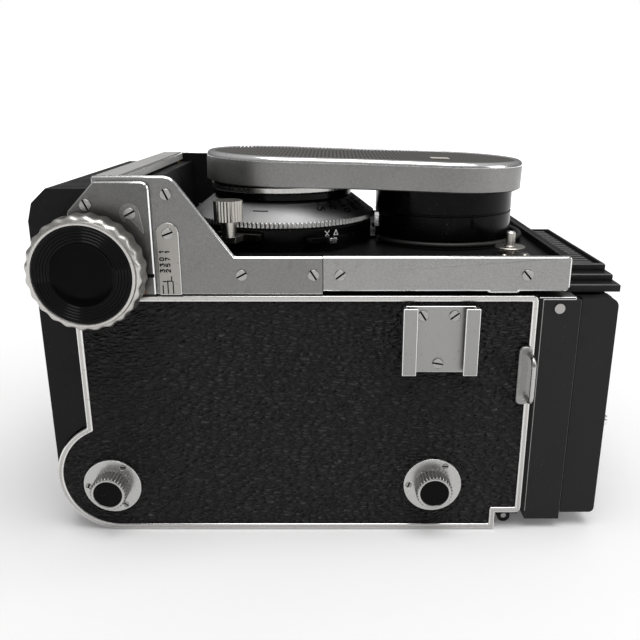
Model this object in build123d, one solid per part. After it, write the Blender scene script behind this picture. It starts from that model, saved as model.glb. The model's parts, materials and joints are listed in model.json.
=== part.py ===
from build123d import *
import os
from math import acos, asin, atan2, cos, degrees, pi, radians, sin, sqrt

# Twin lens reflex camera with a focusing bellows, lying on its back. Millimetres.
# +X runs from the camera's bottom to its hood, +Y to the camera's right side, +Z out of the lenses.
# The origin is under the middle of the bounding box, on the surface that the camera lies on.

# ---- driving dimensions: body ----
BOTTOM_X = -79.0          # bottom face of the camera
FRAME_X0 = -69.2          # bottom wall of the film body
FRAME_X1 = 55.8           # top wall of the film body
FRONT_Z = 71.8            # front plane of the film body
WALL = 2.0                # thickness of the casting's walls
SIDE_IN = 38.5            # inner face of the side walls, from the middle plane
SIDE_OUT = 40.8           # outer face of the side walls
LEATHER = 0.8             # thickness of the side panels
TRIM_H = 1.2              # height of the trim bead
TRIM_W = 1.8              # width of the trim bead
BULGE = (-61.8, 17.3)     # centre of the round spool chamber, X and Z
BULGE_R = 17.3
NOTCH_X, NOTCH_Z = 48.4, 5.5
HOUSING_HALF = 40.4       # half width of the front housing
HOUSING_X1 = -50.8
HOUSING_Z1 = 100.0
SKIN = 1.6                # wall of the front housing

# ---- driving dimensions: film path ----
SPOOL_LOW = (-63.3, 14.7)
SPOOL_HIGH = (29.4, 15.1)
SPOOL_R = 12.4
SPOOL_END = 33.0
SPOOL_BORE = 2.7
DRIVE_R = 2.6
FORMAT = 56.0             # film format, square
GATE_Z = 5.0
PARTITION_X = 14.6
DOOR_T = 1.6
DOOR_HINGE = (51.8, 2.4)
DOOR_HALF = 38.2

# ---- driving dimensions: lenses and standard ----
TAKING_X = -14.9
LENS_GAP = 50.0           # distance between the two lens axes
VIEWING_X = TAKING_X + LENS_GAP
BOARD_Z0, BOARD_Z1 = 78.0, 80.3
BOARD_X0, BOARD_X1 = -50.4, 61.0
PLATE_IN, PLATE_OUT = 40.6, 42.2
KNOB_AXIS = (-62.0, 80.0)
KNOB_R = 15.1
KNOB_LOBES = 24
KNOB_FACE = 53.5          # outer face of the focus knobs, from the middle plane
KNOB_T = 7.3
SHAFT_R = 2.5
FIT = 0.05                # radial clearance of a running fit
PITCH_R = 5.0             # pitch radius of the focusing pinions
PINION_TEETH = 20
RACK_TEETH = 34
RACK_Y = (33.0, 37.0)
PIN_R = 0.6

# ---- driving dimensions: lens cap ----
CAP_R = 23.3
CAP_WAIST = 21.6          # half width at the crease between the lenses
CAP_TILT = 1.83           # the cap sits slightly askew, higher on the taking lens
CAP_Z = 97.25
CAP_H = 8.5

# ---- driving dimensions: hood ----
HOOD_X0, HOOD_X1 = 57.3, 67.5
LID_X0, LID_X1 = 68.0, 78.0
LID_Z0, LID_Z1 = 4.6, 70.5
LID_HALF = 40.0
LID_HINGE = (76.7, 69.2)
FLAP_X = 69.0
FLAP_T = 0.8

NODES = {}


# ---- shape helpers ----
def block(x0, x1, y0, y1, z0, z1):
    middle = Pos((x0 + x1) / 2, (y0 + y1) / 2, (z0 + z1) / 2)
    return middle * Box(x1 - x0, y1 - y0, z1 - z0)


def post(r, x, y, z0, z1):
    """Cylinder along Z."""
    return Pos(x, y, (z0 + z1) / 2) * Cylinder(r, z1 - z0)


def axle(r, x, z, y0, y1):
    """Cylinder along Y."""
    return Pos(x, (y0 + y1) / 2, z) * Rot(90, 0, 0) * Cylinder(r, y1 - y0)


def ring(r_in, r_out, x, y, z0, z1):
    return post(r_out, x, y, z0, z1) - post(r_in, x, y, z0 - 1, z1 + 1)


def slab(outline, y0, y1):
    """Outline drawn in X and Z, extruded along Y."""
    face = Plane.XZ.offset(-y1) * make_face(outline)
    return extrude(face, amount=y1 - y0, dir=(0, -1, 0))


def sheet_xz(points, y0, y1):
    return slab(Polyline(*points, close=True), y0, y1)


def other_side(shape):
    return mirror(shape, about=Plane.XZ)


def both_sides(shape):
    return shape + other_side(shape)


def arc_point(centre, r, angle):
    return (centre[0] + r * cos(radians(angle)), centre[1] + r * sin(radians(angle)))


def arc(centre, r, a0, a1):
    middle = (a0 + a1) / 2
    ends = [arc_point(centre, r, a) for a in (a0, middle, a1)]
    return ThreePointArc(*ends)


def arc_band(centre, r_in, r_out, a0, a1):
    """Closed outline of a curved wall between two radii and two angles."""
    outer = arc(centre, r_out, a0, a1)
    inner = arc(centre, r_in, a0, a1)
    return outer + inner + Line(outer @ 0, inner @ 0) + Line(outer @ 1, inner @ 1)


def knurled(r, teeth, depth):
    """Round outline with pointed ridges."""
    points = []
    for i in range(2 * teeth):
        radius = r if i % 2 else r - depth
        points.append(arc_point((0, 0), radius, 180 * i / teeth))
    return Polyline(*points, close=True)


def knurled_post(r, teeth, depth, x, y, z0, z1):
    return Pos(x, y, z0) * extrude(make_face(knurled(r, teeth, depth)), amount=z1 - z0, dir=(0, 0, 1))


def knurled_axle(r, teeth, depth, x, z, y0, y1):
    outline = Pos(x, z) * knurled(r, teeth, depth)
    return slab(outline, y0, y1)


def screw_holes(places, y_face, shank=3.0):
    holes = [axle(0.8, x, z, y_face - 0.2, y_face + shank) for x, z in places]
    return Compound(holes)


# ---- film body ----
def body_outline():
    """Side view of the body: the front corners, the round spool chamber and the notch at the hinge."""
    meet = degrees(atan2(sqrt(BULGE_R**2 - (FRAME_X0 - BULGE[0]) ** 2), FRAME_X0 - BULGE[0]))
    bulge = arc(BULGE, BULGE_R, meet, 270)
    tail = [bulge @ 1, (NOTCH_X, 0), (NOTCH_X, NOTCH_Z), (FRAME_X1, NOTCH_Z), (FRAME_X1, FRONT_Z)]
    return bulge + Polyline(*tail, (FRAME_X0, FRONT_Z), bulge @ 0)


def body_frame():
    frame = both_sides(slab(body_outline(), SIDE_IN, SIDE_OUT))
    frame -= axle(DRIVE_R + FIT, *SPOOL_LOW, -50, 0)
    frame -= axle(DRIVE_R + FIT, *SPOOL_HIGH, -50, 50)
    # a fixed pin carries the right end of the supply spool
    frame += axle(DRIVE_R, *SPOOL_LOW, SPOOL_END - 5, SIDE_OUT)
    frame += block(FRAME_X0, FRAME_X0 + WALL, -SIDE_IN, SIDE_IN, 33, FRONT_Z)
    frame += slab(arc_band(BULGE, BULGE_R - WALL, BULGE_R, 116, 168.5), -SIDE_IN, SIDE_IN)
    front = block(FRAME_X0, FRAME_X1, -SIDE_IN, SIDE_IN, FRONT_Z - WALL, FRONT_Z)
    front -= block(TAKING_X - 28, TAKING_X + 28, -29, 29, 60, 80)
    front -= block(PARTITION_X + 3, FRAME_X1 - 3, -29, 29, 60, 80)
    frame += front - rack_slots()
    top = block(FRAME_X1 - WALL, FRAME_X1, -SIDE_IN, SIDE_IN, NOTCH_Z, FRONT_Z)
    frame += top - block(50, 60, -28.5, 28.5, 8, 62)
    frame += block(PARTITION_X, PARTITION_X + 1.4, -SIDE_IN, SIDE_IN, GATE_Z + 2, FRONT_Z - 1)
    x, z = DOOR_HINGE
    knuckle = axle(1.9, x, z, 20.3, SIDE_IN) + block(x - 1, FRAME_X1, 20.3, SIDE_IN, 3.2, 7.5)
    frame += both_sides(knuckle - axle(PIN_R + 0.2, x, z, 20, SIDE_IN + 1))
    return frame


def rack_slots():
    x0 = KNOB_AXIS[0] + PITCH_R - 0.7
    slot = block(x0, x0 + 4.1, RACK_Y[0] - 0.3, RACK_Y[1] + 0.3, 60, 110)
    return both_sides(slot)


def trim_and_leather():
    """Trim bead and side panel on the camera's left side."""
    outer = make_face(body_outline())
    inner = offset(outer, amount=-TRIM_W, kind=Kind.INTERSECTION)
    bead = extrude(Plane.XZ.offset(SIDE_OUT) * (outer - inner), amount=TRIM_H, dir=(0, -1, 0))
    panel = extrude(Plane.XZ.offset(SIDE_OUT) * inner, amount=LEATHER, dir=(0, -1, 0))
    for x, z in (SPOOL_LOW, SPOOL_HIGH):
        panel -= axle(DRIVE_R + 0.3, x, z, -45, -38)
    return bead, panel


def front_housing():
    """Black box at the bottom of the camera: it holds the focusing gear and closes the spool chamber."""
    gap = BULGE_R + 0.3
    low = degrees(asin((21.03 - BULGE[1]) / gap))
    hollow = arc(BULGE, gap, 180 - low, 115.6)
    corners = [hollow @ 1, (FRAME_X0 - 0.2, FRONT_Z + 0.3), (HOUSING_X1, FRONT_Z + 0.3)]
    corners += [(HOUSING_X1, HOUSING_Z1), (-73.6, HOUSING_Z1), (-77.7, 96.2), (BOTTOM_X, 91.5), hollow @ 0]
    shell = slab(hollow + Polyline(*corners), -HOUSING_HALF, HOUSING_HALF)
    inside = HOUSING_HALF - SKIN
    chamber = block(BOTTOM_X + SKIN + 1, HOUSING_X1 - SKIN, -inside, inside, FRONT_Z + 2, HOUSING_Z1 - SKIN)
    channel = block(BOTTOM_X + SKIN, FRAME_X0, -inside, inside, 38, FRONT_Z + 0.5)
    shell -= chamber + channel
    shell -= rack_slots()
    shell -= axle(SHAFT_R + FIT, *KNOB_AXIS, -50, 50)
    shell -= Pos(-75, 0, 55) * Rot(0, 90, 0) * Cylinder(6.5, 12)
    return shell


def tripod_socket():
    bush = Pos(-74.5, 0, 55) * Rot(0, 90, 0) * Cylinder(6.5, 9)
    bore = Pos(-75.25, 0, 55) * Rot(0, 90, 0) * Cylinder(3.2, 7.5)
    return bush - bore


KNOB_PLATE_SCREWS = [(-62.6, 96.2), (-51.5, 94.0)]


def knob_plate():
    """Fixed plate that carries the knob's bearing; a pad behind it clears the moving side plate."""
    corner = arc((-48.3, 100.0), 2.0, 0, 90)
    edges = Polyline(corner @ 1, (-60.3, 102.0), (-67.6, 94.3), (-67.6, 72.3), (-46.3, 72.3), corner @ 0)
    plate = slab(corner + edges, -43.3, -42.3)
    plate += block(-67.6, -58.5, -42.3, -HOUSING_HALF, 73, 92)
    return plate - axle(SHAFT_R + FIT, *KNOB_AXIS, -50, -30) - screw_holes(KNOB_PLATE_SCREWS, -43.3, 1.0)


def accessory_shoe():
    """Flat base with two folded rails: the foot slides in between them from the front."""
    x, half, z0, z1 = 29.5, 10.25, 50.0, 69.0
    face = SIDE_OUT + LEATHER
    shoe = block(x - half, x + half, -face - 0.7, -face, z0, z1)
    rail = block(x - half, x - half + 1, -face - 3.6, -face, z0, z1)
    rail += block(x - half, x - half + 3.9, -face - 3.6, -face - 2.7, z0, z1)
    return shoe + rail + mirror(rail, about=Plane.YZ.offset(x))


def strap_lug():
    """Base strip and a flat loop for the strap, on the left side."""
    lug = block(51.5, 55.0, -42.6, -42.0, 40.5, 57.5)
    loop = block(53.6, 55.0, -48.0, -42.4, 42.0, 56.0)
    return lug + loop - block(53, 56, -46.9, -42.6, 43.6, 54.4)


def knob_flange(place):
    x, z = place
    face = SIDE_OUT + LEATHER
    flange = axle(8.3, x, z, -face - 0.9, -face) - axle(DRIVE_R + 0.15, x, z, -face - 2, -face + 1)
    for angle in (60, 180, 300):
        sx, sz = arc_point(place, 6.9, angle)
        flange -= axle(0.9, sx, sz, -face - 1, -face - 0.5)
    return flange


def body_screws():
    shoe_face = -(SIDE_OUT + LEATHER + 0.7)
    shoe = [screw_head(x, z, shoe_face) for x, z in ((24.8, 66.3), (33.3, 66.3), (29.3, 52.7))]
    left = [screw_head(x, z, -43.3, 0.9) for x, z in KNOB_PLATE_SCREWS]
    return Compound(shoe + left + [other_side(s) for s in left])


def screw_head(x, z, y_face, shank=0.0):
    """Slotted screw whose head stands on a plane facing -Y, with its shank going in along +Y."""
    r, height = 1.5, 0.4
    screw = axle(r, x, z, y_face - height, y_face)
    screw -= block(x - r, x + r, y_face - height - 0.1, y_face - height / 2, z - 0.2, z + 0.2)
    if shank:
        screw += axle(0.8, x, z, y_face, y_face + shank)
    return screw


# ---- film path ----
def film_gate():
    plate = block(-46.5, PARTITION_X, -SIDE_IN, SIDE_IN, GATE_Z, GATE_Z + 2)
    return plate - block(TAKING_X - FORMAT / 2, TAKING_X + FORMAT / 2, -FORMAT / 2, FORMAT / 2, 0, 10)


def reflex_mirror():
    """Flat mirror at 45 degrees, which turns the viewing lens's light up to the screen."""
    corners = [(18.5, 46.5), (52.5, 12.5), (51.4, 11.4), (17.4, 45.4)]
    return sheet_xz(corners, -SIDE_IN, SIDE_IN)


def spool(place):
    x, z = place
    body = axle(5.5, x, z, -SPOOL_END, SPOOL_END)
    body += axle(SPOOL_R, x, z, SPOOL_END - 1.2, SPOOL_END) + axle(SPOOL_R, x, z, -SPOOL_END, 1.2 - SPOOL_END)
    body -= axle(SPOOL_BORE, x, z, SPOOL_END - 6, SPOOL_END + 1)
    return body - axle(SPOOL_BORE, x, z, -SPOOL_END - 1, 6 - SPOOL_END)


def pull_knob(place):
    """Knurled knob with a shaft that holds the spool's left end."""
    x, z = place
    knob = knurled_axle(5.25, 30, 0.35, x, z, -47.4, -42.6)
    knob -= axle(4.05, x, z, -48, -47.0)
    return knob + axle(DRIVE_R, x, z, -42.8, -SPOOL_END + 5)


def wind_knob():
    x, z = SPOOL_HIGH
    knob = knurled_axle(11.5, 48, 0.5, x, z, 42.6, 51.5) + axle(9.0, x, z, 51.3, 52.6)
    return knob + axle(DRIVE_R, x, z, SPOOL_END - 5, 43)


def film_door():
    """Back cover: a flat plate that curls round the spool chamber, with the middle hinge knuckle."""
    x, z = DOOR_HINGE
    door = block(BULGE[0], x - 2.3, -DOOR_HALF, DOOR_HALF, 0, DOOR_T)
    door += slab(arc_band(BULGE, BULGE_R - DOOR_T, BULGE_R, 170, 270), -DOOR_HALF, DOOR_HALF)
    door += axle(1.9, x, z, -20, 20) + block(x - 4, x - 0.5, -20, 20, 0, DOOR_T)
    return door - axle(PIN_R + 0.2 + FIT, x, z, -21, 21)


def pressure_plate():
    plate = block(TAKING_X - 29, TAKING_X + 29, -31, 31, GATE_Z - 1.8, GATE_Z - 0.6)
    return fillet(plate.edges().filter_by(Axis.Z), 3)


def door_latch():
    """Sliding catch on the curled edge of the film door."""
    corners = [(-79.15, 15.7), (-79.15, 22.9), (-80.5, 22.0), (-80.5, 16.6)]
    catch = sheet_xz(corners, -30, -18)
    return catch - Pos(-80.5, -24, 19.3) * Rot(0, 90, 0) * Cylinder(0.9, 1.2)


# ---- lens standard ----
A_SCREWS = [(-42.3, 98.7), (-23.6, 77.5), (-4.6, 77.5)]
B_SCREWS = [(2.5, 77.4), (52.0, 77.5)]
RIM_SCREWS = A_SCREWS[1:] + B_SCREWS


def side_plate():
    """Front side plate of the standard, with the slope from the cross bar down to its arm."""
    corners = [(-57.5, 72.2), (-57.5, 93.0), (-61.0, 96.5), (-61.0, 103.3), (-42.6, 103.3)]
    corners += [(-40.9, 102.9), (-39.7, 101.8), (-25.3, 82.4), (-2.2, 82.4), (-2.2, 72.2)]
    return sheet_xz(corners, -PLATE_OUT, -PLATE_IN) - screw_holes(A_SCREWS, -PLATE_OUT, 2.0)


def upper_plate():
    corners = [(-2.0, 73.1), (-2.0, 82.5), (63.5, 82.5), (63.5, 73.1), (50, 73.1), (50, 72.6), (42, 72.6), (42, 73.1)]
    return sheet_xz(corners, -PLATE_OUT, -PLATE_IN) - screw_holes(B_SCREWS, -PLATE_OUT, 2.0)


def lens_board():
    board = block(BOARD_X0, BOARD_X1, -PLATE_IN, PLATE_IN, BOARD_Z0, BOARD_Z1)
    board += both_sides(block(BOARD_X0, BOARD_X1, -PLATE_IN, 3 - PLATE_IN, 75, BOARD_Z0))
    board -= both_sides(screw_holes(RIM_SCREWS, -PLATE_OUT, 4.0))
    board -= post(12, TAKING_X, 0, 70, 90) + post(17, VIEWING_X, 0, 70, 90)
    return board


def standard_screws():
    left = [screw_head(x, z, -PLATE_OUT, 1.5) for x, z in A_SCREWS[:1]]
    left += [screw_head(x, z, -PLATE_OUT, 3.5) for x, z in RIM_SCREWS]
    return Compound(left + [other_side(s) for s in left])


def distance_scale():
    x0, x1, z1 = -45.3, -39.5, 91.5
    r = (x1 - x0) / 2
    strip = block(x0, x1, -PLATE_OUT - 0.5, -PLATE_OUT, 72.2, z1 - r)
    return strip + axle(r, x0 + r, z1 - r, -PLATE_OUT - 0.5, -PLATE_OUT)


def rack_bar(side):
    """Rack on the hood side of the pinion: a tooth gap faces the pinion's axis at rest."""
    pitch = 2 * pi * PITCH_R / PINION_TEETH
    tip, root = KNOB_AXIS[0] + 4.65, KNOB_AXIS[0] + 5.65
    first = KNOB_AXIS[1] + 3.5 * pitch
    points = [(-54.0, 100.3), (root, 100.3)]
    for i in range(RACK_TEETH):
        z = first - i * pitch
        points += [(root, z + 0.40), (tip, z + 0.18), (tip, z - 0.18), (root, z - 0.40)]
    points += [(root, first - RACK_TEETH * pitch), (-54.0, first - RACK_TEETH * pitch)]
    y0, y1 = (RACK_Y[0], RACK_Y[1]) if side > 0 else (-RACK_Y[1], -RACK_Y[0])
    return sheet_xz(points, y0, y1)


def focus_shaft():
    """Cross shaft with a pinion near each end."""
    x, z = KNOB_AXIS
    shaft = axle(SHAFT_R, x, z, -46.4, 46.4)
    points = []
    for i in range(PINION_TEETH):
        middle = 360 * i / PINION_TEETH
        for r, half in ((4.4, 4.8), (5.4, 1.9), (5.4, -1.9), (4.4, -4.8)):
            points.append(arc_point((x, z), r, middle - half))
    pinion = sheet_xz(points, RACK_Y[0] + 0.3, RACK_Y[1] - 0.3)
    return shaft + both_sides(pinion)


def focus_knob():
    """Left focus knob: hub, scalloped rim and a dished face with a smooth middle."""
    x, z = KNOB_AXIS
    back = KNOB_FACE - KNOB_T
    knob = knurled_axle(KNOB_R, KNOB_LOBES, 0.45, x, z, -KNOB_FACE, -back)
    knob += axle(9.5, x, z, -back - 0.1, -43.6)
    knob -= axle(12.65, x, z, -KNOB_FACE - 1, -KNOB_FACE + 0.5)
    knob -= axle(7.85, x, z, -KNOB_FACE - 1, -KNOB_FACE + 1.0)
    return knob - axle(SHAFT_R, x, z, -46.4, -43)


# ---- taking lens and shutter ----
def shutter_housing():
    body = ring(11.5, 27.5, TAKING_X, 0, BOARD_Z1, 86.9)
    tube = ring(11.5, 15.0, TAKING_X, 0, 86.8, 93.8)
    back = ring(11.0, 12.0, TAKING_X, 0, 74.5, BOARD_Z1 + 0.5)
    return body + tube + back


def speed_ring():
    """Knurled ring with the conical dial above it, turning on the lens tube."""
    knurl = knurled_post(28.3, 120, 0.35, TAKING_X, 0, 87.1, 88.9)
    cone = Pos(TAKING_X, 0, (88.9 + 93.6) / 2) * Cone(28.0, 21.6, 93.6 - 88.9)
    return knurl + cone - post(15.0 + FIT, TAKING_X, 0, 80, 100)


def front_ring():
    ring_out = ring(15.0, 21.3, TAKING_X, 0, 93.8, 100.5) + ring(11.5, 16, TAKING_X, 0, 93.8, 96.8)
    return ring_out


def sector(r0, r1, a0, a1, z0, z1):
    """Flat ring sector about the taking lens's axis."""
    outline = arc_band((TAKING_X, 0), r0, r1, a0, a1)
    return Pos(0, 0, z0) * extrude(make_face(outline), amount=z1 - z0, dir=(0, 0, 1))


def shutter_lever(angle, reach, z0, z1, half=3.0):
    """Ring segment that hugs the shutter housing, with a finger that stands out from it."""
    hug = sector(27.7, 29.6, angle - 14, angle + 14, z0, z1)
    return hug + sector(29.0, reach, angle - half, angle + half, z0, z1)


def aperture_lever():
    x, y = -28.0, -31.0
    angle = degrees(atan2(y, x - TAKING_X))
    lever = shutter_lever(angle, 34.5, 84.0, 85.7, 4.0) + post(2.0, x, y, 85.6, 90.2)
    return lever + knurled_post(4.0, 28, 0.3, x, y, 90.1, 95.7)


def cocking_lever():
    lever = shutter_lever(78, 35.0, 81.0, 82.6)
    x, y = arc_point((TAKING_X, 0), 33.4, 78)
    return lever + post(1.6, x, y, 82.5, 86.0)


def sync_lever():
    return shutter_lever(300, 31.5, 83.0, 84.6, 2.0)


def release_lever():
    lever = shutter_lever(150, 34.0, 83.0, 84.6)
    x, y = arc_point((TAKING_X, 0), 32.6, 150)
    return lever + post(1.5, x, y, 84.5, 88.0)


def lens_element(x, r, z0, z1, crown):
    """Glass disc with a domed front."""
    dome_r = (r**2 + crown**2) / (2 * crown)
    dome = Pos(x, 0, z1 - dome_r) * Sphere(dome_r)
    return post(r, x, 0, z0, z1) & dome


def lens_glass():
    front = [lens_element(TAKING_X, 11.5, 93.9, 96.6, 1.6), lens_element(VIEWING_X, 17.0, 92.0, 95.5, 2.0)]
    rear = [post(11.0, TAKING_X, 0, 75, 77), post(17.0, VIEWING_X, 0, 78.2, 80.2)]
    return Compound(front + rear)


def viewing_barrel():
    barrel = ring(17.0, 21.0, VIEWING_X, 0, BOARD_Z1, 99.0)
    return barrel - ring(20.6, 22, VIEWING_X, 0, 89.2, 89.7)


# ---- lens cap ----
def figure_eight(r):
    """Two circles round the lens axes, joined by straight flanks that meet in a shallow crease."""
    half = LENS_GAP / 2
    waist = CAP_WAIST - (CAP_R - r)
    touch = degrees(atan2(waist, half) + acos(r / sqrt(half**2 + waist**2)))
    outline = arc((half, 0), r, 180 - touch, touch - 180) + arc((-half, 0), r, touch, 360 - touch)
    for s in (1, -1):
        start = arc_point((-half, 0), r, s * touch)
        end = arc_point((half, 0), r, 180 - s * touch)
        outline += Polyline(start, (0, s * waist), end)
    return outline


def eight_solid(r, h0, h1):
    return Pos(0, 0, h0) * extrude(make_face(figure_eight(r)), amount=h1 - h0, dir=(0, 0, 1))


def cap_place():
    return Pos(TAKING_X + LENS_GAP / 2, 0, CAP_Z) * Rot(0, CAP_TILT, 0)


def lens_cap():
    cap = eight_solid(CAP_R, 0, CAP_H - 1.2) + eight_solid(CAP_R - 1.2, CAP_H - 1.3, CAP_H)
    cap -= eight_solid(CAP_R - 1.2, -1, CAP_H - 2.4)
    return cap_place() * (cap - eight_solid(CAP_R - 2.6, CAP_H - 0.7, CAP_H + 1))


def cap_insert():
    return cap_place() * eight_solid(CAP_R - 2.6, CAP_H - 0.7, CAP_H)


# ---- bail and lock on the lens board ----
BAIL_Z = 81.7
BAIL_R = 24.0
BAIL_END = 150.0          # the bail stops this far round the viewing lens, from its top
WIRE = 0.8


def wire_bail():
    """Wire round the foot of the viewing lens, open towards the taking lens."""
    start = arc_point((VIEWING_X, 0), BAIL_R, BAIL_END)
    path = Pos(0, 0, BAIL_Z) * arc((VIEWING_X, 0), BAIL_R, -BAIL_END, BAIL_END)
    bow = sweep(Plane(path @ 0, z_dir=path % 0) * Circle(WIRE), path=path)
    return bow + both_sides(axle(WIRE, start[0], BAIL_Z, start[1] - 1.2, start[1] + 1.2))


def lock_pin():
    return post(4.2, 49.8, -30, BOARD_Z1 + 1.7, BOARD_Z1 + 2.6) + post(1.3, 49.8, -30, BOARD_Z1 + 0.2, 87.0)


# ---- hood ----
MAG_X, MAG_Z = 73.4, 41.5


def hood_seat():
    plate = block(FRAME_X1, HOOD_X0, -41.5, 41.5, 5.7, 71.3) - block(50, 60, -31, 31, 5.0, 65.5)
    return plate + block(HOOD_X0 - 0.1, 66, -41.5, 41.5, 70.4, 71.3)


def hood_base():
    base = block(HOOD_X0, HOOD_X1, -41, 41, 2.9, 70.4) - block(50, 70, -33, 33, 8, 65)
    x, z = LID_HINGE
    ear = block(HOOD_X1 - 0.5, x, 33, 36, z - 1.0, z + 1.0) + axle(1.0, x, z, 33, 36)
    return base + both_sides(ear) - axle(PIN_R, x, z, -37, 37)


def hood_lid():
    """Shallow tray over the hood, notched for the hinge ears, with a solid bar at the hinge."""
    lid = block(LID_X0, LID_X1, -LID_HALF, LID_HALF, LID_Z0, LID_Z1)
    outer = lid.edges().filter_by(Axis.Y).group_by(Axis.X)[-1].sort_by(Axis.Z)
    lid = fillet(outer[-1:], 2.4)
    outer = lid.edges().filter_by(Axis.Y).group_by(Axis.X)[-1].sort_by(Axis.Z)
    lid = fillet(outer[:1], 1.5)
    lid -= block(LID_X0 - 1, LID_X1 - 1.5, 1.2 - LID_HALF, LID_HALF - 1.2, LID_Z0 + 1.5, LID_Z1 - 1.5)
    lid += block(75.2, LID_X1 - 1, 1 - LID_HALF, LID_HALF - 1, 67.6, LID_Z1 - 1)
    x, z = LID_HINGE
    lid -= both_sides(block(LID_X0 - 1, LID_X1 + 1, 32.6, 36.4, z - 1.5, LID_Z1 + 1))
    lid -= axle(PIN_R + FIT, x, z, -38.2, 38.2)
    ear = block(MAG_X, LID_X1 - 1, 12.4, 13.6, MAG_Z - 0.95, MAG_Z + 0.95)
    lid += both_sides(ear + axle(0.95, MAG_X, MAG_Z, 12.4, 13.6))
    lid -= axle(PIN_R + FIT, MAG_X, MAG_Z, -14, 14)
    return lid - Pos(LID_X1, 0, 40) * Rot(0, 90, 0) * Cylinder(2.4 + FIT, 10)


def lid_button():
    collar = Pos(76.1, 0, 40) * Rot(0, 90, 0) * Cylinder(3.2, 0.6)
    return collar + Pos(78.25, 0, 40) * Rot(0, 90, 0) * Cylinder(2.4, 4.5)


def hinge_pins():
    x, z = LID_HINGE
    hood = axle(PIN_R, x, z, 30, 38)
    door = axle(PIN_R + 0.2, *DOOR_HINGE, -38.4, 38.4)
    stud = axle(1.4, 61.7, 68, -41.4, -41)
    return Compound([hood, other_side(hood), door, stud, other_side(stud)])


FLAP_Z0, FLAP_Z1 = 7.6, 59.4
FLAP_HALF = 37.8
SIDE_REACH = 20.0
REAR_REACH = 21.5


def flap(points):
    """Thin sheet in the plane of the folded flaps, from points in Y and Z."""
    face = make_face(Polyline(*[(FLAP_X - FLAP_T / 2, y, z) for y, z in points], close=True))
    return extrude(face, amount=FLAP_T, dir=(1, 0, 0))


def side_flap():
    """Left flap: its rear edge is mitred against the rear flap."""
    y = -FLAP_HALF
    low = FLAP_Z0 + 0.8
    return flap([(y, low), (y, FLAP_Z1), (y + SIDE_REACH, FLAP_Z1), (y + SIDE_REACH, low + SIDE_REACH)])


def rear_flap():
    reach = REAR_REACH
    y = FLAP_HALF - 0.6
    return flap([(-y, FLAP_Z0), (y, FLAP_Z0), (y - reach, FLAP_Z0 + reach), (reach - y, FLAP_Z0 + reach)])


def magnifier():
    """Hinged frame with the focusing lens, folded flat under the lid."""
    frame = block(MAG_X - 1.2, MAG_X + 1.2, -15, 15, MAG_Z - 29, MAG_Z - 1)
    frame -= Pos(MAG_X, 0, MAG_Z - 15) * Rot(0, 90, 0) * Cylinder(11.5, 5)
    frame += block(MAG_X - 0.8, MAG_X + 0.8, -12, 12, MAG_Z - 1.2, MAG_Z) + axle(0.8, MAG_X, MAG_Z, -12, 12)
    frame += axle(PIN_R, MAG_X, MAG_Z, -13.6, 13.6)
    glass = Pos(MAG_X, 0, MAG_Z - 15) * Rot(0, 90, 0) * Cylinder(11.5, 1.8)
    return frame, glass


def nameplate():
    plate = block(64, 79.5, -36, 36, 71.3, 73.4)
    plate += block(64.8, 78.7, -31.8, 31.8, 73.3, 75.3) + block(65.6, 77.9, -27.65, 27.65, 75.2, 77.3)
    return plate


def bellows():
    """Folded bellows at its shortest, with the light wall between the two lenses."""
    outer = block(-48.5, 59, -36.5, 36.5, FRONT_Z, BOARD_Z0)
    outer -= block(-44.5, 12.4, -32.5, 32.5, 70, 80)
    return outer - block(16.8, 55, -32.5, 32.5, 70, 80)


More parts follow.
